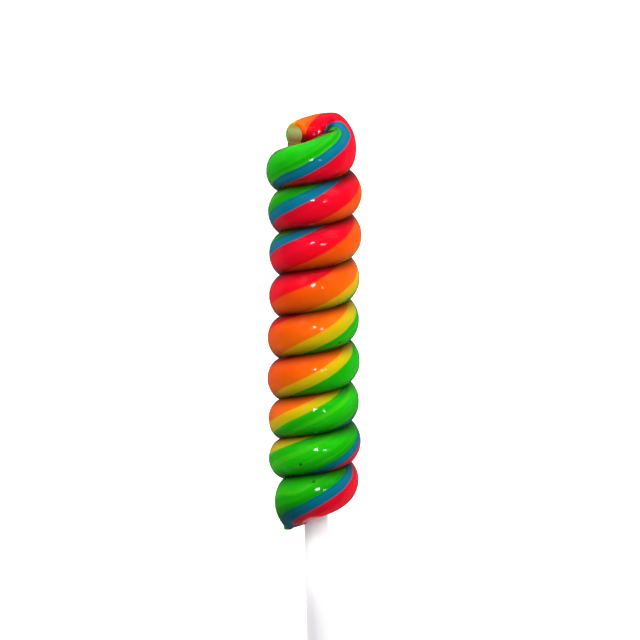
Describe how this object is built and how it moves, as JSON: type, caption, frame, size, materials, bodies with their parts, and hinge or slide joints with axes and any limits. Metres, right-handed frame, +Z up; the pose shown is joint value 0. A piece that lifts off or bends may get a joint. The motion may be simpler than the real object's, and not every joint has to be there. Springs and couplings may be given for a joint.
{
  "type": "swirl lollipop",
  "caption": "Twisted candy lollipop: a striped rope of boiled sugar wound in a tight coil round the upper half of a plain white stick.",
  "frame": {"origin": "middle of the whole lollipop's footprint, on the surface that it lies on", "axes": "+Y along the stick to the candy's top end, -Y to the stick's bare end, +Z up out of the shown side, +X to the right of the shown side"},
  "size_m": [0.0184, 0.159, 0.017],
  "materials": {
    "candy": "glossy boiled sugar in green, blue, red, orange and yellow stripes",
    "stick": "smooth satin white"
  },
  "bodies": {
    "root": {"candy": "candy", "stick": "stick"}
  },
  "joints": []
}
